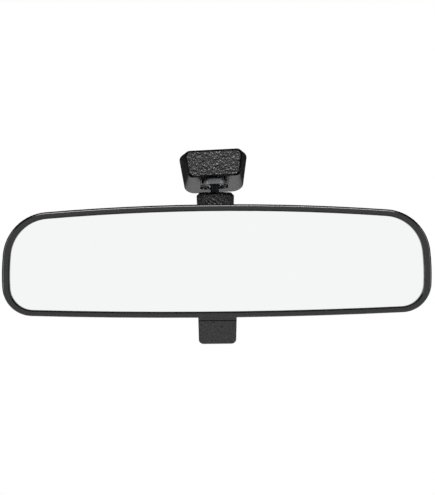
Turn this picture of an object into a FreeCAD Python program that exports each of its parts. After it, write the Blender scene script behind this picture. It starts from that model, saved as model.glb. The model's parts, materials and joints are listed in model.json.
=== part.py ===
# Interior rearview mirror: a day/night prismatic head on a double-ball arm, hung from
# the windscreen by a twist-lock foot.  Millimetres.
# Every piece is drawn about the middle of the head's front plane: +X to the right for
# someone facing the glass, +Y towards the windscreen, +Z up.  On export all of them
# are shifted so that the middle of the foot's seat on the windscreen is the origin.

import FreeCAD, Part
import math
import os

# ---- sizes: outline of the head, seen from the front ----
head_width = 245.0
head_height = 64.6
widest_drop = 8.4          # the widest level lies this far below the middle
top_radius = 1285.0
bottom_radius = 2889.0
side_radius = 125.0
upper_corner = 26.6
lower_corner = 17.1

# ---- sizes: bezel, rear housing and glass ----
rim_top = 3.9              # visible width of the rim over, beside and under the glass
rim_side = 4.5
rim_bottom = 3.5
bead_round = 1.8           # rounding of the rim's outer front edge
rim_chamfer = 0.9          # slope of the rim down to the glass
bezel_depth = 9.0
lip_overlap = 1.5          # how far the lip covers the edge of the glass
glass_set_back = 2.0       # front of the glass behind the front of the rim
glass_fit = 0.2
glass_thick_top = 5.5
glass_thick_bottom = 2.2
coating_thick = 0.2
head_depth = 28.0
shell_wall = 2.2
shell_step = 0.4           # the rear housing's outline is this much smaller
back_round = 14.0
tongue_reach = 1.0         # locating tongue of the rear housing inside the bezel
tongue_thick = 1.3
tongue_root = 2.0
tongue_fit = 0.1
stud_opening_radius = 10.0
rib_places = (45.0, 85.0)
rib_thick = 1.8
rib_front = 9.8
pad_width = 10.0
pad_height = 38.0

# ---- sizes: ball joints ----
ball_radius = 6.5
ball_neck_radius = 2.6
ball_fit = 0.1             # running clearance on each side of a liner
liner_thick = 1.0
cup_zone = (100.0, 150.0)  # angles from the stud's direction, in degrees
upper_ring_zone = (48.0, 80.0)
lower_ring_zone = (52.0, 80.0)
upper_mouth_angle = 45.0   # half angle left open round the stud
lower_mouth_angle = 50.0
lower_ball_y = 18.5
lower_ball_z = 2.0
upper_ball_y = 47.0
upper_ball_z = 33.5

# ---- sizes: arm ----
barrel_top_radius = 11.4
barrel_foot_radius = 10.6
barrel_lip_radius = 9.6
barrel_over_ball = 6.8     # barrel's mouth above the middle of the ball
barrel_lip_height = 1.9
barrel_bore_radius = 8.6
bend_radius = 15.0
arm_end_radius = 5.5
collar_over_ball = 0.6     # underside of the collar above the middle of the ball
collar_sink = 0.4
seat_plate = 1.3
disc_count = 4             # conical spring discs stacked under the seat
disc_thick = 0.8
disc_inner_radius = 3.6
disc_edge_fit = 0.3
spring_room = 6.4
lower_shank_depth = 9.0

# ---- sizes: toggle bracket and its pivot in the head ----
pivot_y = 12.0
pivot_z = 21.0
pin_radius = 1.5
pin_running = 0.06
pivot_tube_radius = 3.2
pivot_tube_half = 15.5
ear_gap = 0.5
ear_thick = 4.0
ear_half_height = 3.5
ear_front = 3.4            # how far an ear stands in front of its pin
plate_front = 10.0
plate_thick = 2.5
plate_half_width = 14.0
plate_bottom = -14.0
socket_radius = 10.0
socket_floor = 1.3
retainer_radius = 9.6
retainer_gap = 0.5         # bracket's rear face behind the middle of the ball
retainer_deep = 4.6
retainer_ear_thick = 2.3
retainer_ear_half = 16.0
retainer_ear_height = 8.0
retainer_screw_x = 13.2
screw_radius = 1.3
screw_head_radius = 2.3
screw_head_height = 1.6
screw_hole_fit = 0.15
screw_depth = 6.5

# ---- sizes: day/night lever ----
lever_y = 14.3
lever_z = -24.0
tilt_angle = 4.0           # how far the head tips when the lever is flipped
lever_lean = 18.0          # the lever leans this much each way
hub_radius = 3.6
hub_flat = 3.45
hub_inner = 3.4            # the hubs run from here to the tab's edge
hub_edge_gap = 0.3
web_thick = 2.5
web_half = 2.2
crank_pin_radius = 1.2
yoke_half_width = 3.0
yoke_half_depth = 3.8
yoke_under_pin = 2.2
yoke_slack = 0.25
tab_width_top = 22.8
tab_width_bottom = 21.8
tab_length = 25.9          # from the lever's pin to the tab's end
tab_thick = 3.4
tab_corner = 2.8
grip_start = 11.2          # the thicker grained pad starts this far below the pin
grip_proud = 0.7
grip_inset = 0.6
lever_pin_half = 15.0
lever_boss_gap = 0.4
lever_boss_front = 3.6
lever_boss_over = 3.4
lever_slot_gap = 0.6
lever_slot_fit = 0.35
detent_gap = 0.3
detent_thick = 0.4
detent_x = (6.6, 10.6)
detent_front = 10.8
detent_back = 24.6
detent_post_front = 19.6
detent_screw_y = 22.2
detent_screw_radius = 1.1
detent_head_radius = 1.8
detent_head_height = 1.2
detent_screw_depth = 3.0

# ---- sizes: foot ----
glass_slope = 40.0         # windscreen's slope from the horizontal
foot_roll = -2.5           # the foot is turned this much on the upper ball
seat_y = 55.05
seat_z = 53.0
seat_half_length = 18.7    # along the slope
seat_half_top = 21.0
seat_half_bottom = 17.8
seat_corner = 7.0
face_y = 28.0
face_top_z = 65.2
face_bottom_z = 49.2
face_half_top = 17.4
face_half_bottom = 15.4
face_corner = 3.0
face_edge = 1.2            # softened edge round the front face
foot_wall = 2.2
core_fit = 0.12
foot_slot_half = 8.6       # opening in the foot's underside, round the stud
foot_slot_front = 34.0
foot_slot_back = 61.0
foot_slot_corner = 4.0
core_half_width = 13.5
core_low = -14.0           # core's reach along the slope, up (-) and down (+)
core_high = 13.0
plate_recess = 0.8
lock_plate_thick = 1.8
lock_plate_half = 12.0
lock_plate_reach = 11.4
plate_seat_fit = 0.15
button_radius = 9.0
lock_notch_angle = 36.0
lock_notch_radius = 10.8
button_pocket_radius = 10.9
button_pocket_depth = 3.2
lock_spring_width = 6.0
lock_spring_half = 9.0
lock_spring_rise = 1.9
lock_spring_thick = 0.4
stud_boss_radius = 7.6
stud_boss_low = 45.4
stud_shank_radius = 3.2
stud_shank_low = 44.4
stud_shank_top = 49.2
stud_head_radius = 4.6
stud_head_top = 50.6
foot_screw_x = 10.4
foot_screw_u = 9.0
foot_screw_depth = 3.6
foot_screw_radius = 0.9
foot_screw_head_radius = 1.6

X_AXIS = FreeCAD.Vector(1, 0, 0)
Y_AXIS = FreeCAD.Vector(0, 1, 0)
Z_AXIS = FreeCAD.Vector(0, 0, 1)

upper_ball = FreeCAD.Vector(0, upper_ball_y, upper_ball_z)
lower_ball = FreeCAD.Vector(0, lower_ball_y, lower_ball_z)
lever_axis_point = FreeCAD.Vector(0, lever_y, lever_z)
liner_inner = ball_radius + ball_fit
liner_outer = liner_inner + liner_thick
socket_sphere = liner_outer + ball_fit
far = 4 * head_width       # longer than anything that is cut with it


# ---- small helpers ----
def box_between(x_low, x_high, y_low, y_high, z_low, z_high):
    corner = FreeCAD.Vector(x_low, y_low, z_low)
    return Part.makeBox(x_high - x_low, y_high - y_low, z_high - z_low, corner)


def rod(radius, start, direction, length):
    return Part.makeCylinder(radius, length, start, direction)


def rod_along_x(radius, y, z, half_length):
    start = FreeCAD.Vector(-half_length, y, z)
    return rod(radius, start, X_AXIS, 2 * half_length)


def mirrored_pair(shape):
    return shape.fuse(shape.mirror(FreeCAD.Vector(0, 0, 0), X_AXIS))


def pair_of_solids(shape):
    return Part.makeCompound([shape, shape.mirror(FreeCAD.Vector(0, 0, 0), X_AXIS)])


def turned(shape, centre, axis, angle):
    copy = shape.copy()
    copy.rotate(centre, axis, angle)
    return copy


def arc_about(centre, start, end):
    radius = (start - centre).Length
    middle = (start + end) * 0.5 - centre
    middle.normalize()
    return Part.Arc(start, centre + middle * radius, end).toShape()


def polygon_prism(points, direction):
    wire = Part.makePolygon(points + [points[0]])
    return Part.Face(wire).extrude(direction)


def revolved_profile(points, centre, axis_turn):
    """Solid of revolution: points are (radius, height) on the way round the section."""
    corners = [FreeCAD.Vector(radius, 0, height) for radius, height in points]
    wire = Part.makePolygon(corners + [corners[0]])
    solid = Part.Face(wire).revolve(FreeCAD.Vector(0, 0, 0), Z_AXIS, 360)
    solid.rotate(FreeCAD.Vector(0, 0, 0), X_AXIS, axis_turn)
    solid.translate(centre)
    return solid


def ball_liner(zone, centre, axis_turn):
    """Spherical shell between two angles measured from the stud's direction (+Z)."""
    def on_section(radius, angle):
        turn = math.radians(angle)
        return FreeCAD.Vector(radius * math.sin(turn), 0, radius * math.cos(turn))

    first, last = zone
    middle = (first + last) / 2
    outer = Part.Arc(on_section(liner_outer, first), on_section(liner_outer, middle),
                     on_section(liner_outer, last)).toShape()
    inner = Part.Arc(on_section(liner_inner, last), on_section(liner_inner, middle),
                     on_section(liner_inner, first)).toShape()
    start = Part.makeLine(on_section(liner_inner, first), on_section(liner_outer, first))
    end = Part.makeLine(on_section(liner_outer, last), on_section(liner_inner, last))
    wire = Part.Wire([outer, end, inner, start])
    solid = Part.Face(wire).revolve(FreeCAD.Vector(0, 0, 0), Z_AXIS, 360)
    solid.rotate(FreeCAD.Vector(0, 0, 0), X_AXIS, axis_turn)
    solid.translate(centre)
    return solid


# ---- outline of the head ----
def corner_centre(first_centre, first_reach, second_centre, second_reach):
    """Point at the two reaches from the two centres, on the right-hand side."""
    across = second_centre - first_centre
    distance = across.Length
    along = (first_reach ** 2 - second_reach ** 2 + distance ** 2) / (2 * distance)
    aside = math.sqrt(first_reach ** 2 - along ** 2)
    unit = across * (1 / distance)
    square = FreeCAD.Vector(unit.z, 0, -unit.x)
    foot_point = first_centre + unit * along
    either = [foot_point + square * aside, foot_point - square * aside]
    return max(either, key=lambda point: point.x)


def beyond(centre, through, radius):
    direction = through - centre
    direction.normalize()
    return centre + direction * radius


def outline_wire(y, inset_side, inset_top, inset_bottom):
    """The head's outline at depth y, drawn in by the three insets."""
    top = head_height / 2 - inset_top
    bottom = -head_height / 2 + inset_bottom
    side = head_width / 2 - inset_side
    r_top = top_radius - inset_top
    r_bottom = bottom_radius - inset_bottom
    r_side = side_radius - inset_side
    r_upper = upper_corner - (inset_side + inset_top) / 2
    r_lower = lower_corner - (inset_side + inset_bottom) / 2

    top_centre = FreeCAD.Vector(0, y, top - r_top)
    bottom_centre = FreeCAD.Vector(0, y, bottom + r_bottom)
    side_centre = FreeCAD.Vector(side - r_side, y, -widest_drop)
    upper = corner_centre(top_centre, r_top - r_upper, side_centre, r_side - r_upper)
    lower = corner_centre(bottom_centre, r_bottom - r_lower, side_centre, r_side - r_lower)

    top_end = beyond(top_centre, upper, r_top)
    side_start = beyond(side_centre, upper, r_side)
    side_end = beyond(side_centre, lower, r_side)
    bottom_end = beyond(bottom_centre, lower, r_bottom)

    def flipped(point):
        return FreeCAD.Vector(-point.x, point.y, point.z)

    edges = [
        arc_about(top_centre, flipped(top_end), top_end),
        arc_about(upper, top_end, side_start),
        arc_about(side_centre, side_start, side_end),
        arc_about(lower, side_end, bottom_end),
        arc_about(bottom_centre, bottom_end, flipped(bottom_end)),
        arc_about(flipped(lower), flipped(bottom_end), flipped(side_end)),
        arc_about(flipped(side_centre), flipped(side_end), flipped(side_start)),
        arc_about(flipped(upper), flipped(side_start), flipped(top_end)),
    ]
    return Part.Wire(edges)


def outline_prism(y_start, y_end, insets):
    wire = outline_wire(y_start, *insets)
    return Part.Face(wire).extrude(FreeCAD.Vector(0, y_end - y_start, 0))


def even(inset):
    return (inset, inset, inset)


def grown(insets, more):
    return tuple(inset + more for inset in insets)


def edges_at_depth(shape, y):
    return [edge for edge in shape.Edges
            if abs(edge.BoundBox.YMin - y) < 0.001 and abs(edge.BoundBox.YMax - y) < 0.001]


rim_insets = (rim_side, rim_top, rim_bottom)
glass_insets = grown(rim_insets, -lip_overlap)
pocket_insets = grown(glass_insets, -glass_fit)
glass_low = -head_height / 2 + glass_insets[2]
glass_high = head_height / 2 - glass_insets[1]


# ---- glass, coating and pads ----
def behind_glass(extra):
    """Depth of the glass's back, plus extra, at its lower and upper edge."""
    low = glass_set_back + glass_thick_bottom + extra
    high = glass_set_back + glass_thick_top + extra
    return low, high


def wedge_slab(front_extra, back_extra):
    """Everything between two planes parallel to the back of the glass."""
    front_low, front_high = behind_glass(front_extra)
    back_low, back_high = behind_glass(back_extra)
    points = [
        FreeCAD.Vector(-far / 2, front_low, glass_low),
        FreeCAD.Vector(-far / 2, back_low, glass_low),
        FreeCAD.Vector(-far / 2, back_high, glass_high),
        FreeCAD.Vector(-far / 2, front_high, glass_high),
    ]
    return polygon_prism(points, FreeCAD.Vector(far, 0, 0))


def make_glass():
    blank = outline_prism(glass_set_back, bezel_depth + glass_thick_top, glass_insets)
    back_low, back_high = behind_glass(0)
    points = [
        FreeCAD.Vector(-far / 2, glass_set_back, glass_low),
        FreeCAD.Vector(-far / 2, back_low, glass_low),
        FreeCAD.Vector(-far / 2, back_high, glass_high),
        FreeCAD.Vector(-far / 2, glass_set_back, glass_high),
    ]
    return blank.common(polygon_prism(points, FreeCAD.Vector(far, 0, 0)))


def make_coating():
    blank = outline_prism(glass_set_back, bezel_depth + glass_thick_top, glass_insets)
    return blank.common(wedge_slab(0, coating_thick))


def make_pads():
    slab = wedge_slab(coating_thick, far)
    pads = []
    for side in (-1, 1):
        for place in rib_places:
            middle = side * place
            block = box_between(middle - pad_width / 2, middle + pad_width / 2,
                                0, rib_front, -pad_height / 2, pad_height / 2)
            pads.append(block.common(slab))
    return Part.makeCompound(pads)


# ---- bezel ----
def make_bezel():
    body = outline_prism(0, bezel_depth, even(0))
    body = body.makeFillet(bead_round, edges_at_depth(body, 0))
    window = outline_prism(-1, bezel_depth, rim_insets)
    pocket = outline_prism(glass_set_back, bezel_depth + 1, pocket_insets)
    slope = Part.makeLoft([
        outline_wire(-0.01, *grown(rim_insets, -rim_chamfer)),
        outline_wire(rim_chamfer, *rim_insets),
    ], True, True)
    return body.cut(window).cut(pocket).cut(slope)


# ---- rear housing ----
def back_rounding(inset):
    """Radius of the back's rounded edge, limited by the tightest corner."""
    wanted = back_round - (inset - shell_step)
    return min(wanted, lower_corner - inset - 1.0)


def back_solid(inset, y_end):
    body = outline_prism(bezel_depth, y_end, even(inset))
    return body.makeFillet(back_rounding(inset), edges_at_depth(body, y_end))


def make_rear_housing():
    outer = back_solid(shell_step, head_depth)
    hollow = back_solid(shell_step + shell_wall, head_depth - shell_wall)
    shell = outer.cut(hollow)

    tongue_insets = grown(pocket_insets, tongue_fit)
    tongue_front = bezel_depth - tongue_reach
    tongue_back = bezel_depth + tongue_root
    tongue = outline_prism(tongue_front, tongue_back, tongue_insets)
    tongue = tongue.cut(outline_prism(tongue_front, tongue_back, grown(tongue_insets, tongue_thick)))
    held = tongue.common(outer.fuse(outline_prism(tongue_front, bezel_depth, even(shell_step))))
    shell = shell.fuse(held)

    additions = []
    for side in (-1, 1):
        for place in rib_places:
            middle = side * place
            additions.append(box_between(middle - rib_thick / 2, middle + rib_thick / 2,
                                         rib_front, head_depth, -head_height, head_height))
    ear_start = pivot_tube_half + ear_gap
    for side in (-1, 1):
        near, away = sorted((side * ear_start, side * (ear_start + ear_thick)))
        additions.append(box_between(near, away, pivot_y - ear_front, head_depth,
                                     pivot_z - ear_half_height, pivot_z + ear_half_height))
        boss_start = tab_width_top / 2 - hub_edge_gap + lever_boss_gap
        near, away = sorted((side * boss_start, side * lever_pin_half))
        additions.append(box_between(near, away, lever_y - lever_boss_front, head_depth,
                                     -head_height, lever_z + lever_boss_over))
    strip_low = lever_z + hub_flat + detent_gap
    additions.append(box_between(detent_x[0], detent_x[1], detent_post_front, head_depth,
                                 lever_z - hub_radius, strip_low))
    for addition in additions:
        shell = shell.fuse(addition.common(outer))

    shell = shell.cut(rod(stud_opening_radius, lower_ball, Y_AXIS, head_depth))
    shell = shell.cut(rod_along_x(pin_radius, pivot_y, pivot_z, ear_start + ear_thick + 1))
    shell = shell.cut(rod_along_x(pin_radius, lever_y, lever_z, lever_pin_half + 1))
    slot_half = tab_width_top / 2 + lever_slot_gap
    slot_reach = lever_swing_reach() + lever_slot_fit
    shell = shell.cut(box_between(-slot_half, slot_half, lever_y - slot_reach, lever_y + slot_reach,
                                  -head_height, lever_z - hub_radius - 0.4))
    screw_start = FreeCAD.Vector(sum(detent_x) / 2, detent_screw_y, strip_low)
    screw_hole = rod(detent_screw_radius, screw_start, -Z_AXIS, detent_screw_depth)
    return shell.cut(screw_hole)


def lever_swing_reach():
    """How far the leaning tab stands from its pin where it leaves the rear housing."""
    drop = head_height / 2 + lever_z
    angle = math.radians(lever_lean)
    return drop * math.tan(angle) + tab_thick / 2 / math.cos(angle)


def make_pivot_pin():
    return rod_along_x(pin_radius, pivot_y, pivot_z, pivot_tube_half + ear_gap + ear_thick)


def make_lever_pin():
    return rod_along_x(pin_radius, lever_y, lever_z, lever_pin_half)


def make_detent_spring():
    low = lever_z + hub_flat + detent_gap
    strip = box_between(detent_x[0], detent_x[1], detent_front, detent_back,
                        low, low + detent_thick)
    hole_start = FreeCAD.Vector(sum(detent_x) / 2, detent_screw_y, low - 1)
    return strip.cut(rod(detent_screw_radius, hole_start, Z_AXIS, 2 + detent_thick))


def make_spring_screw():
    low = lever_z + hub_flat + detent_gap
    top = low + detent_thick
    start = FreeCAD.Vector(sum(detent_x) / 2, detent_screw_y, low - detent_screw_depth)
    shank = rod(detent_screw_radius, start, Z_AXIS, top - start.z)
    head_start = FreeCAD.Vector(start.x, start.y, top)
    return shank.fuse(rod(detent_head_radius, head_start, Z_AXIS, detent_head_height))


# ---- day/night lever ----
# With the lever leaning equally each way, the crank that moves the yoke by as much as
# the head tips at that height follows from the two angles.
pivot_to_lever = pivot_z - lever_z
tip = math.radians(tilt_angle)
lean = math.radians(lever_lean)
crank_length = pivot_to_lever * math.sin(tip) / (2 * math.sin(lean) + math.cos(lean) * math.sin(tip))
crank_pin_y = lever_y - crank_length * math.sin(lean)
crank_pin_z = lever_z + crank_length * math.cos(lean)


def leaned(shape):
    return turned(shape, lever_axis_point, X_AXIS, lever_lean)


def tab_profile(inset):
    """Front view of the tab below the pin, with rounded lower corners."""
    half_top = tab_width_top / 2 - inset
    half_bottom = tab_width_bottom / 2 - inset
    end = lever_z - tab_length + inset
    start = lever_z if inset == 0 else lever_z - grip_start
    points = [
        FreeCAD.Vector(-half_top, lever_y, start),
        FreeCAD.Vector(half_top, lever_y, start),
        FreeCAD.Vector(half_bottom, lever_y, end),
        FreeCAD.Vector(-half_bottom, lever_y, end),
    ]
    solid = polygon_prism(points, FreeCAD.Vector(0, tab_thick, 0))
    corners = [edge for edge in solid.Edges
               if edge.BoundBox.ZMax < end + 0.001 and edge.BoundBox.YLength > tab_thick / 2]
    return solid.makeFillet(tab_corner - inset, corners)


def make_lever():
    tab = tab_profile(0)
    tab.translate(FreeCAD.Vector(0, -tab_thick / 2, 0))
    grip = tab_profile(grip_inset)
    grip.translate(FreeCAD.Vector(0, -tab_thick / 2 - grip_proud, 0))
    body = tab.fuse(grip)

    hub_outer = tab_width_top / 2 - hub_edge_gap
    hub_length = hub_outer - hub_inner
    hub = rod(hub_radius, FreeCAD.Vector(hub_inner, lever_y, lever_z), X_AXIS, hub_length)
    web = box_between(hub_inner, hub_inner + web_thick, lever_y - web_half, lever_y + web_half,
                      lever_z, lever_z + crank_length)
    web_end = rod(web_half, FreeCAD.Vector(hub_inner, lever_y, lever_z + crank_length),
                  X_AXIS, web_thick)
    body = body.fuse(mirrored_pair(hub)).fuse(mirrored_pair(web.fuse(web_end)))
    middle_gap = box_between(-hub_inner, hub_inner, lever_y - 2 * hub_radius,
                             lever_y + 2 * hub_radius, lever_z - hub_radius - 0.3,
                             lever_z + 3 * hub_radius)
    body = body.cut(middle_gap)
    flat_start = hub_inner + web_thick + 0.2
    for side in (-1, 1):
        flat = box_between(flat_start, hub_outer + 1, lever_y - 2 * hub_radius,
                           lever_y + 2 * hub_radius, lever_z + hub_flat, lever_z + 2 * hub_radius)
        body = body.cut(turned(flat, lever_axis_point, X_AXIS, side * lever_lean))
    body = body.cut(rod_along_x(pin_radius + pin_running, lever_y, lever_z, tab_width_top))
    crank_hole = rod_along_x(crank_pin_radius, lever_y, lever_z + crank_length, tab_width_top)
    return leaned(body.cut(crank_hole))


def make_crank_pin():
    pin = rod_along_x(crank_pin_radius, lever_y, lever_z + crank_length, hub_inner + web_thick)
    return leaned(pin)


# ---- toggle bracket ----
bracket_back = lower_ball_y + retainer_gap


def make_bracket():
    plate = box_between(-plate_half_width, plate_half_width, plate_front,
                        plate_front + plate_thick, plate_bottom, pivot_z)
    tube = rod_along_x(pivot_tube_radius, pivot_y, pivot_z, pivot_tube_half)
    socket_front = lower_ball_y - socket_sphere - socket_floor
    socket = rod(socket_radius, FreeCAD.Vector(0, socket_front, lower_ball_z), Y_AXIS,
                 bracket_back - socket_front)
    posts = box_between(-retainer_ear_half, retainer_ear_half, plate_front, bracket_back,
                        lower_ball_z - retainer_ear_height / 2,
                        lower_ball_z + retainer_ear_height / 2)
    yoke = box_between(-yoke_half_width, yoke_half_width, plate_front,
                       crank_pin_y + yoke_half_depth, crank_pin_z - yoke_under_pin,
                       plate_bottom + 2)
    body = plate.fuse([tube, socket, posts, yoke])
    body = body.cut(Part.makeSphere(socket_sphere, lower_ball))
    body = body.cut(rod(socket_sphere, lower_ball, Y_AXIS, retainer_gap + 1))
    body = body.cut(rod_along_x(pin_radius + pin_running, pivot_y, pivot_z, pivot_tube_half + 1))
    slot_half = crank_pin_radius + yoke_slack
    slot = box_between(-yoke_half_width - 1, yoke_half_width + 1, crank_pin_y - slot_half,
                       crank_pin_y + slot_half, crank_pin_z - 2 * yoke_under_pin, crank_pin_z)
    slot_end = rod_along_x(slot_half, crank_pin_y, crank_pin_z + 0.4, yoke_half_width + 1)
    slot_bridge = box_between(-yoke_half_width - 1, yoke_half_width + 1, crank_pin_y - slot_half,
                              crank_pin_y + slot_half, crank_pin_z - 1, crank_pin_z + 0.4)
    body = body.cut(slot.fuse([slot_end, slot_bridge]))
    for side in (-1, 1):
        start = FreeCAD.Vector(side * retainer_screw_x, bracket_back - screw_depth, lower_ball_z)
        body = body.cut(rod(screw_radius, start, Y_AXIS, screw_depth + 1))
    return body


def make_retainer():
    ring = rod(retainer_radius, FreeCAD.Vector(0, bracket_back, lower_ball_z), Y_AXIS,
               retainer_deep)
    ears = box_between(-retainer_ear_half, retainer_ear_half, bracket_back,
                       bracket_back + retainer_ear_thick,
                       lower_ball_z - retainer_ear_height / 2,
                       lower_ball_z + retainer_ear_height / 2)
    body = ring.fuse(ears).cut(Part.makeSphere(socket_sphere, lower_ball))
    mouth = math.radians(lower_mouth_angle)
    mouth_radius = socket_sphere * math.sin(mouth)
    mouth_y = lower_ball_y + socket_sphere * math.cos(mouth)
    flare_length = retainer_deep
    flare = Part.makeCone(mouth_radius, mouth_radius + flare_length * math.tan(mouth),
                          flare_length, FreeCAD.Vector(0, mouth_y, lower_ball_z), Y_AXIS)
    throat = rod(mouth_radius, lower_ball, Y_AXIS, retainer_deep + 1)
    body = body.cut(throat).cut(flare)
    for side in (-1, 1):
        start = FreeCAD.Vector(side * retainer_screw_x, bracket_back - 1, lower_ball_z)
        body = body.cut(rod(screw_radius + screw_hole_fit, start, Y_AXIS, retainer_ear_thick + 2))
    return body


def make_retainer_screws():
    head_y = bracket_back + retainer_ear_thick
    start = FreeCAD.Vector(retainer_screw_x, bracket_back - screw_depth, lower_ball_z)
    shank = rod(screw_radius, start, Y_AXIS, head_y - start.y)
    head_start = FreeCAD.Vector(retainer_screw_x, head_y, lower_ball_z)
    head = rod(screw_head_radius, head_start, Y_AXIS, screw_head_height)
    return pair_of_solids(shank.fuse(head))


# ---- arm ----
bend_z = lower_ball_z + bend_radius      # the barrel ends and the bend starts here
arm_end_y = upper_ball_y - bend_radius
barrel_top_z = upper_ball_z + barrel_over_ball
bore_floor_z = upper_ball_z - socket_sphere - seat_plate - spring_room


def make_arm_body():
    centre = FreeCAD.Vector(0, upper_ball_y, 0)
    barrel = revolved_profile([
        (0, bend_z),
        (barrel_foot_radius, bend_z),
        (barrel_top_radius, barrel_top_z - barrel_lip_height),
        (barrel_lip_radius, barrel_top_z),
        (0, barrel_top_z),
    ], centre, 0)
    bend_centre = FreeCAD.Vector(0, arm_end_y, bend_z)
    sections = []
    for step in range(5):
        share = step / 4
        radius = barrel_foot_radius + (arm_end_radius - barrel_foot_radius) * share
        circle = Part.makeCircle(radius, FreeCAD.Vector(0, upper_ball_y, bend_z), Z_AXIS)
        circle.rotate(bend_centre, X_AXIS, -90 * share)
        sections.append(Part.Wire(circle))
    elbow = Part.makeLoft(sections, True, False)
    body = barrel.fuse(elbow)
    bore = rod(barrel_bore_radius, FreeCAD.Vector(0, upper_ball_y, bore_floor_z), Z_AXIS,
               barrel_top_z - bore_floor_z + 1)
    shank_hole = rod(ball_neck_radius, FreeCAD.Vector(0, arm_end_y - 1, lower_ball_z), Y_AXIS,
                     lower_shank_depth + 1)
    return body.cut(bore).cut(shank_hole)


def make_arm_collar():
    top = barrel_top_z - collar_sink
    start = FreeCAD.Vector(0, upper_ball_y, upper_ball_z + collar_over_ball)
    body = rod(barrel_bore_radius, start, Z_AXIS, top - start.z)
    body = body.cut(Part.makeSphere(socket_sphere, upper_ball))
    mouth = math.radians(upper_mouth_angle)
    mouth_radius = socket_sphere * math.sin(mouth)
    mouth_z = upper_ball_z + socket_sphere * math.cos(mouth)
    flare = Part.makeCone(mouth_radius, mouth_radius + barrel_over_ball * math.tan(mouth),
                          barrel_over_ball, FreeCAD.Vector(0, upper_ball_y, mouth_z), Z_AXIS)
    throat = rod(mouth_radius, upper_ball, Z_AXIS, barrel_over_ball + 1)
    return body.cut(throat).cut(flare)


def make_spring_seat():
    low = upper_ball_z - socket_sphere - seat_plate
    top = upper_ball_z - 0.5
    start = FreeCAD.Vector(0, upper_ball_y, low)
    body = rod(barrel_bore_radius, start, Z_AXIS, top - low)
    return body.cut(Part.makeSphere(socket_sphere, upper_ball))


def make_disc_springs():
    """Conical discs, cupped up and down by turns, fill the room under the seat."""
    pitch = spring_room / disc_count
    rise = pitch - disc_thick
    outer_radius = barrel_bore_radius - disc_edge_fit
    discs = []
    for index in range(disc_count):
        inner_low, outer_low = (rise, 0) if index % 2 else (0, rise)
        profile = [
            (disc_inner_radius, inner_low),
            (outer_radius, outer_low),
            (outer_radius, outer_low + disc_thick),
            (disc_inner_radius, inner_low + disc_thick),
        ]
        centre = FreeCAD.Vector(0, upper_ball_y, bore_floor_z + index * pitch)
        discs.append(revolved_profile(profile, centre, 0))
    return Part.makeCompound(discs)


def make_lower_stud():
    ball = Part.makeSphere(ball_radius, lower_ball)
    length = arm_end_y + lower_shank_depth - lower_ball_y
    return ball.fuse(rod(ball_neck_radius, lower_ball, Y_AXIS, length))


# ---- foot ----
# The foot is drawn upright and then rolled about the upper ball with everything in it.
slope = math.radians(glass_slope)
seat_middle = FreeCAD.Vector(0, seat_y, seat_z)


def slope_place(x, u, w):
    """A point in the seat's own axes: u runs down the slope, w out to the glass."""
    return FreeCAD.Vector(x, seat_y + u * math.cos(slope) + w * math.sin(slope),
                          seat_z - u * math.sin(slope) + w * math.cos(slope))


def onto_slope(shape):
    """Moves a shape drawn flat about the origin onto the seat."""
    shape = turned(shape, FreeCAD.Vector(0, 0, 0), X_AXIS, -glass_slope)
    shape.translate(seat_middle)
    return shape


def rolled(shape):
    return turned(shape, upper_ball, Y_AXIS, foot_roll)


def rounded_quad(corners, radius):
    """Closed wire through four corners of one plane, each rounded by an arc."""
    edges = []
    starts = []
    ends = []
    for index, corner in enumerate(corners):
        before = corners[index - 1] - corner
        after = corners[(index + 1) % 4] - corner
        before.normalize()
        after.normalize()
        half = before.getAngle(after) / 2
        reach = radius / math.tan(half)
        towards = before + after
        towards.normalize()
        nearest = corner + towards * (radius / math.sin(half) - radius)
        starts.append(corner + before * reach)
        ends.append(corner + after * reach)
        edges.append(Part.Arc(starts[-1], nearest, ends[-1]).toShape())
    outline = []
    for index in range(4):
        outline.append(edges[index])
        outline.append(Part.makeLine(ends[index], starts[(index + 1) % 4]))
    return Part.Wire(outline)


def face_section(y, inset, radius):
    """Cross-section of the foot parallel to its front face."""
    return rounded_quad([
        FreeCAD.Vector(-face_half_top + inset, y, face_top_z - inset),
        FreeCAD.Vector(face_half_top - inset, y, face_top_z - inset),
        FreeCAD.Vector(face_half_bottom - inset, y, face_bottom_z + inset),
        FreeCAD.Vector(-face_half_bottom + inset, y, face_bottom_z + inset),
    ], radius)


def seat_section(inset, w, radius):
    """Cross-section of the foot parallel to the windscreen."""
    return rounded_quad([
        slope_place(-seat_half_top + inset, -seat_half_length + inset, w),
        slope_place(seat_half_top - inset, -seat_half_length + inset, w),
        slope_place(seat_half_bottom - inset, seat_half_length - inset, w),
        slope_place(-seat_half_bottom + inset, seat_half_length - inset, w),
    ], radius)


def foot_inside(extra):
    """The hollow of the foot's cover, drawn in by extra on all sides."""
    inset = foot_wall + extra
    return Part.makeLoft([
        face_section(face_y + inset, inset, face_corner - foot_wall / 2),
        seat_section(inset, 0, seat_corner - foot_wall / 2),
    ], True, True)


def make_foot_housing():
    outer = Part.makeLoft([
        face_section(face_y, face_edge, face_corner - face_edge / 2),
        face_section(face_y + face_edge, 0, face_corner),
        seat_section(0, 0, seat_corner),
    ], True, True)
    slot = box_between(-foot_slot_half, foot_slot_half, foot_slot_front, foot_slot_back,
                       upper_ball_z, seat_z)
    corners = [edge for edge in slot.Edges if edge.BoundBox.ZLength > 1]
    slot = slot.makeFillet(foot_slot_corner, corners)
    return rolled(outer.cut(foot_inside(0)).cut(slot))


def foot_screw_places():
    return [(side * foot_screw_x, -foot_screw_u) for side in (-1, 1)]


plate_top_w = -plate_recess
plate_low_w = -plate_recess - lock_plate_thick
pocket_floor_w = plate_low_w - button_pocket_depth


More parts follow.
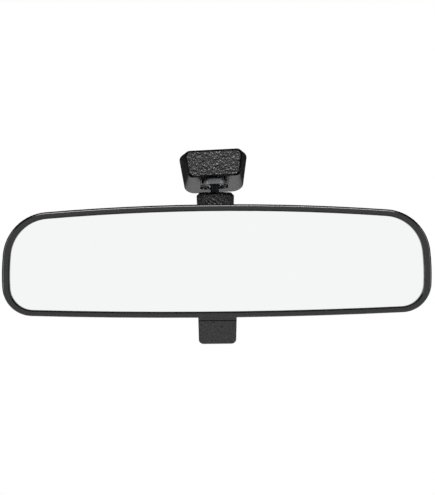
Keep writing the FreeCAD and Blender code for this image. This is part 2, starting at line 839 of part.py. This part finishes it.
def make_foot_core():
    inside = foot_inside(core_fit)
    slab = onto_slope(box_between(-core_half_width, core_half_width, core_low, core_high,
                                  -far / 8, plate_low_w - plate_seat_fit))
    body = inside.common(slab)
    boss_top = seat_z
    boss = rod(stud_boss_radius, FreeCAD.Vector(0, upper_ball_y, stud_boss_low), Z_AXIS,
               boss_top - stud_boss_low)
    body = body.fuse(boss.common(slab))
    pocket = onto_slope(rod(button_pocket_radius, FreeCAD.Vector(0, 0, pocket_floor_w), Z_AXIS,
                            button_pocket_depth + lock_plate_thick))
    body = body.cut(pocket)
    shank_start = FreeCAD.Vector(0, upper_ball_y, stud_boss_low - 1)
    body = body.cut(rod(stud_shank_radius, shank_start, Z_AXIS, far / 8))
    head_start = FreeCAD.Vector(0, upper_ball_y, stud_shank_top)
    body = body.cut(rod(stud_head_radius, head_start, Z_AXIS, far / 8))
    for x, u in foot_screw_places():
        hole = rod(foot_screw_radius, FreeCAD.Vector(x, u, plate_low_w - foot_screw_depth),
                   Z_AXIS, foot_screw_depth + 1)
        body = body.cut(onto_slope(hole))
    return rolled(body)


def make_upper_stud():
    ball = Part.makeSphere(ball_radius, upper_ball)
    neck = rod(ball_neck_radius, upper_ball, Z_AXIS, stud_shank_low - upper_ball_z + 1)
    shank = rod(stud_shank_radius, FreeCAD.Vector(0, upper_ball_y, stud_shank_low), Z_AXIS,
                stud_shank_top - stud_shank_low)
    head = rod(stud_head_radius, FreeCAD.Vector(0, upper_ball_y, stud_shank_top), Z_AXIS,
               stud_head_top - stud_shank_top)
    return rolled(ball.fuse([neck, shank, head]))


def make_lock_plate():
    plate = box_between(-lock_plate_half, lock_plate_half, -lock_plate_reach, lock_plate_reach,
                        plate_low_w, plate_top_w)
    corners = [edge for edge in plate.Edges if edge.BoundBox.ZLength > lock_plate_thick / 2]
    plate = plate.makeFillet(seat_corner - foot_wall, corners)
    through = lock_plate_thick + 2
    low = FreeCAD.Vector(0, 0, plate_low_w - 1)
    plate = plate.cut(rod(button_radius, low, Z_AXIS, through))
    for start_angle in (0, 180):
        notch = Part.makeCylinder(lock_notch_radius, through, low, Z_AXIS, lock_notch_angle)
        notch.rotate(FreeCAD.Vector(0, 0, 0), Z_AXIS, start_angle + 90 - lock_notch_angle / 2)
        plate = plate.cut(notch)
    for x, u in foot_screw_places():
        hole_start = FreeCAD.Vector(x, u, plate_low_w - 1)
        plate = plate.cut(rod(foot_screw_radius, hole_start, Z_AXIS, through))
        sink = Part.makeCone(foot_screw_radius, foot_screw_head_radius, lock_plate_thick / 2,
                             FreeCAD.Vector(x, u, plate_top_w - lock_plate_thick / 2), Z_AXIS)
        plate = plate.cut(sink)
    return rolled(onto_slope(plate))


def make_lock_spring():
    def arc_edge(drop):
        low = pocket_floor_w + 0.05 + drop
        middle = low + lock_spring_rise
        return Part.Arc(FreeCAD.Vector(-lock_spring_half, 0, low), FreeCAD.Vector(0, 0, middle),
                        FreeCAD.Vector(lock_spring_half, 0, low)).toShape()

    under = arc_edge(0)
    over = arc_edge(lock_spring_thick)
    ends = [Part.makeLine(under.Vertexes[-1].Point, over.Vertexes[-1].Point),
            Part.makeLine(over.Vertexes[0].Point, under.Vertexes[0].Point)]
    wire = Part.Wire(Part.sortEdges([under, over] + ends)[0])
    strip = Part.Face(wire).extrude(FreeCAD.Vector(0, lock_spring_width, 0))
    strip.translate(FreeCAD.Vector(0, -lock_spring_width / 2, 0))
    return rolled(onto_slope(strip))


def make_foot_screws():
    screws = []
    for x, u in foot_screw_places():
        low = FreeCAD.Vector(x, u, plate_low_w - foot_screw_depth)
        shank = rod(foot_screw_radius, low, Z_AXIS, plate_top_w - low.z)
        head = Part.makeCone(foot_screw_radius, foot_screw_head_radius, lock_plate_thick / 2,
                             FreeCAD.Vector(x, u, plate_top_w - lock_plate_thick / 2), Z_AXIS)
        screws.append(rolled(onto_slope(shank.fuse(head))))
    return Part.makeCompound(screws)


# ---- all nodes ----
nodes = {
    "foot_housing": make_foot_housing(),
    "foot_core": make_foot_core(),
    "upper_ball_stud": make_upper_stud(),
    "lock_plate": make_lock_plate(),
    "lock_spring": make_lock_spring(),
    "foot_screws": make_foot_screws(),
    "upper_ball_cup": ball_liner(cup_zone, upper_ball, 0),
    "upper_ball_ring": ball_liner(upper_ring_zone, upper_ball, 0),
    "arm_body": make_arm_body(),
    "arm_collar": make_arm_collar(),
    "disc_springs": make_disc_springs(),
    "spring_seat": make_spring_seat(),
    "lower_ball_stud": make_lower_stud(),
    "lower_ball_cup": ball_liner(cup_zone, lower_ball, -90),
    "lower_ball_ring": ball_liner(lower_ring_zone, lower_ball, -90),
    "toggle_bracket": make_bracket(),
    "ball_retainer": make_retainer(),
    "retainer_screws": make_retainer_screws(),
    "rear_housing": make_rear_housing(),
    "bezel": make_bezel(),
    "prism_glass": make_glass(),
    "silver_coating": make_coating(),
    "foam_pads": make_pads(),
    "pivot_pin": make_pivot_pin(),
    "lever_pin": make_lever_pin(),
    "detent_spring": make_detent_spring(),
    "spring_screw": make_spring_screw(),
    "day_night_lever": make_lever(),
    "crank_pin": make_crank_pin(),
}

seat_marker = rolled(Part.Vertex(seat_middle))
origin_shift = seat_marker.Point * -1

os.makedirs("parts", exist_ok=True)
for name, shape in nodes.items():
    placed = shape.removeSplitter() if shape.ShapeType == "Solid" else shape
    placed = placed.copy()
    placed.translate(origin_shift)
    if not placed.isValid():
        raise ValueError("invalid shape: " + name)
    placed.exportStep("parts/" + name + ".step")
    print(name, len(placed.Solids), round(placed.Volume, 1))

print("seat middle", [round(value, 4) for value in seat_marker.Point])
print("crank length", round(crank_length, 4), "pin", round(crank_pin_y, 4), round(crank_pin_z, 4))
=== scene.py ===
import json
import math

import bmesh
import bpy
from mathutils import Matrix, Vector

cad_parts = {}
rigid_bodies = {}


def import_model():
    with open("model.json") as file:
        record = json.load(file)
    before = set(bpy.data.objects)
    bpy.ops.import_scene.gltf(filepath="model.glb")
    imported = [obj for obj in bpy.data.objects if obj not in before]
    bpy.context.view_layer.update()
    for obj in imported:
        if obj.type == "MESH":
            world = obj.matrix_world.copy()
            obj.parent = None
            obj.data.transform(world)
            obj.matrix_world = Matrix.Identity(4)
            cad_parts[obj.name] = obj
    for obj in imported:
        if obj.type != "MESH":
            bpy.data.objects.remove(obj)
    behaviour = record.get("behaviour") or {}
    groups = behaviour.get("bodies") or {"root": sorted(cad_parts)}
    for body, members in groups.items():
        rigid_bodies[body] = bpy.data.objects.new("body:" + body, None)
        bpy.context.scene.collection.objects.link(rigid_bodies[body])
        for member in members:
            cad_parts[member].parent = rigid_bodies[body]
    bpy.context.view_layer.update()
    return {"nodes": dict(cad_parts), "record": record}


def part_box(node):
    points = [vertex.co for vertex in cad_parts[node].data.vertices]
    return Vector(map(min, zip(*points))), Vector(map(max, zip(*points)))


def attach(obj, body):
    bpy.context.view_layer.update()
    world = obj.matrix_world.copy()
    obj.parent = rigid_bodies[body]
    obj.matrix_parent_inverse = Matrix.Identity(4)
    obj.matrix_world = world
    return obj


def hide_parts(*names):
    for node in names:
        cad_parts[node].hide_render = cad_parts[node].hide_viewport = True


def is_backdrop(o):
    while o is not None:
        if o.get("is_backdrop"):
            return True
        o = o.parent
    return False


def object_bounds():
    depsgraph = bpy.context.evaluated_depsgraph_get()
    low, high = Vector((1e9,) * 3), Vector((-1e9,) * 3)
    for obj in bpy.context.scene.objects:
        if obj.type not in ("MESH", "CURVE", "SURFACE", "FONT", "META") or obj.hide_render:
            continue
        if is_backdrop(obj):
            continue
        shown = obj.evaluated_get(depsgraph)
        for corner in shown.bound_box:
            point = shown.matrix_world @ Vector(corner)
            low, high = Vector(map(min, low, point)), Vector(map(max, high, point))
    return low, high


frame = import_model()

scene = bpy.context.scene
bodyOf = {node: body for body, nodes in frame["record"]["behaviour"]["bodies"].items()
          for node in nodes}
bezelLow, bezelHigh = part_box("bezel")
headMiddle = Vector(((bezelLow[0] + bezelHigh[0]) / 2, bezelLow[1],
                     (bezelLow[2] + bezelHigh[2]) / 2))   # middle of the rim's front plane

# ---- camera ----
cameraSet = {
    "distance": 0.672,     # metres from the front of the rim
    "azimuth": -1.3,       # degrees; minus is to the left
    "elevation": 1.0,
    "roll": 0.5,
    "aimAbove": 0.0077,    # above the middle of the head
    "tall": 0.2812,        # height of the view at the rim
}


def makeCamera(s):
    turn, rise = math.radians(s["azimuth"]), math.radians(s["elevation"])
    away = Vector((math.sin(turn) * math.cos(rise), -math.cos(turn) * math.cos(rise),
                   math.sin(rise)))
    data = bpy.data.cameras.new("studioCamera")
    data.lens = data.sensor_width * s["distance"] / s["tall"]
    data.clip_start = 0.01
    camera = bpy.data.objects.new("studioCamera", data)
    scene.collection.objects.link(camera)
    camera.location = headMiddle + Vector((0, 0, s["aimAbove"])) + away * s["distance"]
    look = (-away).to_track_quat("-Z", "Y").to_matrix()
    roll = Matrix.Rotation(math.radians(-s["roll"]), 3, "Z")
    camera.rotation_euler = (look @ roll).to_euler()
    scene.camera = camera


makeCamera(cameraSet)
print("camera placed")


# ---- materials ----
def fromHex(code):
    channels = [int(code[i:i + 2], 16) / 255 for i in (1, 3, 5)]
    linear = [c / 12.92 if c <= 0.04045 else ((c + 0.055) / 1.055) ** 2.4 for c in channels]
    return (*linear, 1.0)


def addNode(tree, kind, settings=None, links=None):
    node = tree.nodes.new(kind)
    for key, value in (settings or {}).items():
        if hasattr(node, key):
            setattr(node, key, value)
        else:
            node.inputs[key].default_value = value
    for key, source in (links or {}).items():
        tree.links.new(source, node.inputs[key])
    return node


def startMaterial(name, colour, **sockets):
    material = bpy.data.materials.new(name)
    material.use_nodes = True
    tree = material.node_tree
    shader = tree.nodes["Principled BSDF"]
    shader.inputs["Base Color"].default_value = fromHex(colour)
    for key, value in sockets.items():
        shader.inputs[key].default_value = value
    place = addNode(tree, "ShaderNodeTexCoord").outputs["Object"]
    return material, tree, shader, place


# Injection-moulded ABS with an etched grain: the light breaks up into small sparks.
grainSet = {"pitchMm": 1.25, "heightMm": 0.9, "dark": "#070708", "pale": "#1c1c1d"}


def makeGrainedAbs(s):
    material, tree, shader, place = startMaterial(
        "grainedBlackAbs", s["dark"], IOR=1.53, Roughness=0.24)
    scale = 1000 / s["pitchMm"]
    cells = addNode(tree, "ShaderNodeTexVoronoi", {"feature": "SMOOTH_F1", "Scale": scale},
                    {"Vector": place})
    fine = addNode(tree, "ShaderNodeTexNoise", {"Scale": scale * 0.9, "Detail": 3.0},
                   {"Vector": place})
    height = addNode(tree, "ShaderNodeMath", {"operation": "ADD"})
    tree.links.new(cells.outputs["Distance"], height.inputs[0])
    tree.links.new(fine.outputs["Fac"], height.inputs[1])
    bump = addNode(tree, "ShaderNodeBump", {"Strength": 1.0, "Distance": s["heightMm"] / 1000},
                   {"Height": height.outputs[0]})
    shade = addNode(tree, "ShaderNodeMix", {"data_type": "RGBA"})
    tree.links.new(fine.outputs["Fac"], shade.inputs[0])
    shade.inputs[6].default_value = fromHex(s["dark"])
    shade.inputs[7].default_value = fromHex(s["pale"])
    tree.links.new(shade.outputs[2], shader.inputs["Base Color"])
    tree.links.new(bump.outputs["Normal"], shader.inputs["Normal"])
    return material


# Moulded in a polished tool: even gloss with a faint waviness and fine dust marks.
def makeSmoothPlastic(name, colour, roughness, ripple):
    material, tree, shader, place = startMaterial(name, colour, IOR=1.53, Roughness=roughness)
    cloud = addNode(tree, "ShaderNodeTexNoise", {"Scale": 140.0, "Detail": 4.0},
                    {"Vector": place})
    spread = addNode(tree, "ShaderNodeMapRange",
                     {"To Min": roughness * 0.85, "To Max": roughness * 1.2},
                     {"Value": cloud.outputs["Fac"]})
    tree.links.new(spread.outputs["Result"], shader.inputs["Roughness"])
    fine = addNode(tree, "ShaderNodeTexNoise", {"Scale": 2500.0, "Detail": 2.0},
                   {"Vector": place})
    bump = addNode(tree, "ShaderNodeBump", {"Strength": 0.5, "Distance": ripple},
                   {"Height": fine.outputs["Fac"]})
    tree.links.new(bump.outputs["Normal"], shader.inputs["Normal"])
    return material


def makeMetal(name, colour, roughness, patchMm):
    material, tree, shader, place = startMaterial(name, colour, Metallic=1.0)
    patch = addNode(tree, "ShaderNodeTexNoise", {"Scale": 1000 / patchMm, "Detail": 5.0},
                    {"Vector": place})
    spread = addNode(tree, "ShaderNodeMapRange",
                     {"To Min": roughness * 0.7, "To Max": roughness * 1.4},
                     {"Value": patch.outputs["Fac"]})
    tree.links.new(spread.outputs["Result"], shader.inputs["Roughness"])
    bump = addNode(tree, "ShaderNodeBump", {"Strength": 0.3, "Distance": 0.00003},
                   {"Height": patch.outputs["Fac"]})
    tree.links.new(bump.outputs["Normal"], shader.inputs["Normal"])
    return material


# Float glass silvered on its back: a bright, sharp mirror with a trace of green.
def makeSilveredGlass():
    material, tree, shader, place = startMaterial("silveredGlass", "#f4f6f6", Metallic=1.0)
    haze = addNode(tree, "ShaderNodeTexNoise", {"Scale": 30.0, "Detail": 2.0},
                   {"Vector": place})
    spread = addNode(tree, "ShaderNodeMapRange", {"To Min": 0.015, "To Max": 0.03},
                     {"Value": haze.outputs["Fac"]})
    tree.links.new(spread.outputs["Result"], shader.inputs["Roughness"])
    return material


grainedAbs = makeGrainedAbs(grainSet)
satinAbs = makeSmoothPlastic("satinBlackAbs", "#070708", 0.16, 0.000002)
mouldedNylonBlack = makeSmoothPlastic("glassFilledBlackNylon", "#141414", 0.5, 0.00002)
naturalNylon = makeSmoothPlastic("naturalNylon", "#e4dfcf", 0.45, 0.00001)
openFoam = makeSmoothPlastic("closedCellFoam", "#1a1a1b", 0.9, 0.0001)
zincPlate = makeMetal("zincPlatedSteel", "#b4b6b8", 0.3, 1.5)
# Near-black steel: its darkness is painted shade, standing in for the shade in the recess under the foot
# where the upper stud sits.
shadeDarkSteel = makeMetal("shadeDarkenedSteel", "#1b1b1c", 0.35, 1.0)
dieCastZinc = makeMetal("dieCastZinc", "#8d9092", 0.5, 0.8)
silveredGlass = makeSilveredGlass()
finishOf = {"grained_black": grainedAbs, "satin_black": satinAbs,
            "nylon_black": mouldedNylonBlack, "nylon": naturalNylon, "foam": openFoam,
            "steel": zincPlate, "die_cast": dieCastZinc, "glass": silveredGlass,
            "silvering": silveredGlass}
slotOf = {part["node"]: part["material_slot"] for part in frame["record"]["subparts"]}
for nodeName, nodeObject in frame["nodes"].items():
    for part in ([nodeObject] if nodeObject.type == "MESH" else nodeObject.children):
        part.data.materials.clear()
        part.data.materials.append(finishOf[slotOf[nodeName]])
print("materials made")


# ---- smooth skins over the moulded pieces ----
# The node's shape as one joined mesh, with its round faces shaded round.
def smoothSkin(node, name, finish, sharpDegrees=28):
    source = frame["nodes"][node]
    work = bmesh.new()
    work.from_mesh(source.data)
    bmesh.ops.remove_doubles(work, verts=work.verts, dist=0.000002)
    for face in work.faces:
        face.smooth = True
    for edge in work.edges:
        edge.smooth = len(edge.link_faces) == 2 and \
            edge.calc_face_angle(0) < math.radians(sharpDegrees)
    mesh = bpy.data.meshes.new(name)
    work.to_mesh(mesh)
    work.free()
    mesh.materials.append(finish)
    piece = bpy.data.objects.new(name, mesh)
    scene.collection.objects.link(piece)
    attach(piece, bodyOf[node])
    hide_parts(node)
    return piece


# The grain lies only on the faces turned to the viewer; the rest is left smooth.
def grainFront(piece, facing, lowerThan):
    piece.data.materials.append(grainedAbs)
    for face in piece.data.polygons:
        if face.normal.y < -facing and face.center.z < lowerThan:
            face.material_index = 1


def softenEdges(piece, width):
    bevel = piece.modifiers.new("softEdges", "BEVEL")
    bevel.width = width
    bevel.segments = 3
    bevel.limit_method = "ANGLE"
    bevel.angle_limit = math.radians(28)


footCover = smoothSkin("foot_housing", "footCover", satinAbs)
grainFront(footCover, 0.9, 1.0)
softenEdges(footCover, 0.0007)
elbowArm = smoothSkin("arm_body", "elbowArm", grainedAbs, 40)
softenEdges(elbowArm, 0.0004)
backShell = smoothSkin("rear_housing", "backShell", satinAbs)
rim = smoothSkin("bezel", "rim", satinAbs)
mirrorGlass = smoothSkin("prism_glass", "mirrorGlass", silveredGlass)
dayNightTab = smoothSkin("day_night_lever", "dayNightTab", satinAbs)
grainFront(dayNightTab, 0.7, bezelLow[2] - 0.002)
softenEdges(dayNightTab, 0.0004)
smoothSkin("lower_ball_stud", "lowerStud", zincPlate)
# The upper stud gets the near-black steel as painted shade, so it reads as the shaded recess under the
# foot.
smoothSkin("upper_ball_stud", "upperStud", shadeDarkSteel)
smoothSkin("arm_collar", "armCollar", mouldedNylonBlack)
print("skins made")

# ---- studio ----
studioSet = {"floorBelow": 0.11, "darkFloor": 0.4, "keyWatts": 12.0, "fillWatts": 3.0, "worldDiffuse": 0.35,
             "worldDark": 0.03}


def makeStudio(s):
    low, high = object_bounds()
    mesh = bpy.data.meshes.new("studioFloor")
    z = low[2] - s["floorBelow"]
    mesh.from_pydata([(-6, -6, z), (6, -6, z), (6, 6, z), (-6, 6, z)], [], [(0, 1, 2, 3)])
    floor = bpy.data.objects.new("studioFloor", mesh)
    scene.collection.objects.link(floor)
    material = bpy.data.materials.new("paleFloor")
    material.use_nodes = True
    tree = material.node_tree
    tree.nodes["Principled BSDF"].inputs["Base Color"].default_value = fromHex("#f2f2f2")
    tree.nodes["Principled BSDF"].inputs["Roughness"].default_value = 0.9
    paths = addNode(tree, "ShaderNodeLightPath")
    white = addNode(tree, "ShaderNodeEmission", {"Color": (1, 1, 1, 1), "Strength": 1.0})
    mix = addNode(tree, "ShaderNodeMixShader")
    spot = addNode(tree, "ShaderNodeNewGeometry").outputs["Position"]
    spotY = addNode(tree, "ShaderNodeSeparateXYZ", links={"Vector": spot}).outputs["Y"]
    faraway = addNode(tree, "ShaderNodeMapRange", {"From Min": -s["darkFloor"],
                      "From Max": -2 * s["darkFloor"]}, {"Value": spotY})
    glossy = addNode(tree, "ShaderNodeMath", {"operation": "MULTIPLY"})
    tree.links.new(paths.outputs["Is Glossy Ray"], glossy.inputs[0])
    tree.links.new(faraway.outputs["Result"], glossy.inputs[1])
    shown = addNode(tree, "ShaderNodeMath", {"operation": "MAXIMUM"})
    tree.links.new(paths.outputs["Is Camera Ray"], shown.inputs[0])
    tree.links.new(glossy.outputs[0], shown.inputs[1])
    tree.links.new(shown.outputs[0], mix.inputs[0])
    tree.links.new(tree.nodes["Principled BSDF"].outputs[0], mix.inputs[1])
    tree.links.new(white.outputs[0], mix.inputs[2])
    tree.links.new(mix.outputs[0], tree.nodes["Material Output"].inputs["Surface"])
    mesh.materials.append(material)
    floor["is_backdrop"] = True

    world = bpy.data.worlds.new("studioWorld")
    world.use_nodes = True
    scene.world = world
    tree = world.node_tree
    plain = tree.nodes["Background"]
    plain.inputs["Strength"].default_value = s["worldDiffuse"]
    direction = addNode(tree, "ShaderNodeTexCoord").outputs["Generated"]
    split = addNode(tree, "ShaderNodeSeparateXYZ", links={"Vector": direction})
    behind = addNode(tree, "ShaderNodeMapRange", {"From Min": -0.55, "From Max": -0.85,
                     "To Min": s["worldDark"], "To Max": 1.0}, {"Value": split.outputs["Y"]})
    seen = addNode(tree, "ShaderNodeBackground", {"Color": (1, 1, 1, 1)},
                   {"Strength": behind.outputs["Result"]})
    white = addNode(tree, "ShaderNodeBackground", {"Color": (1, 1, 1, 1), "Strength": 1.0})
    paths = addNode(tree, "ShaderNodeLightPath")
    mirrored = addNode(tree, "ShaderNodeMixShader")
    tree.links.new(paths.outputs["Is Glossy Ray"], mirrored.inputs[0])
    tree.links.new(plain.outputs[0], mirrored.inputs[1])
    tree.links.new(seen.outputs[0], mirrored.inputs[2])
    final = addNode(tree, "ShaderNodeMixShader")
    tree.links.new(paths.outputs["Is Camera Ray"], final.inputs[0])
    tree.links.new(mirrored.outputs[0], final.inputs[1])
    tree.links.new(white.outputs[0], final.inputs[2])
    tree.links.new(final.outputs[0], tree.nodes["World Output"].inputs["Surface"])

    def softBox(name, place, size, watts):
        data = bpy.data.lights.new(name, "AREA")
        data.shape = "RECTANGLE"
        data.size, data.size_y = size
        data.energy = watts
        lamp = bpy.data.objects.new(name, data)
        scene.collection.objects.link(lamp)
        lamp.location = headMiddle + Vector(place)
        lamp.rotation_euler = (-Vector(place)).to_track_quat("-Z", "Y").to_euler()

    softBox("keyAbove", (0.0, -0.42, 0.85), (0.9, 0.25), s["keyWatts"])
    softBox("stripRight", (0.9, -0.35, 0.1), (0.2, 0.8), s["fillWatts"])
    softBox("stripLeft", (-0.9, -0.35, 0.1), (0.2, 0.8), s["fillWatts"])


makeStudio(studioSet)
scene.view_settings.view_transform = "Standard"
print("studio made")
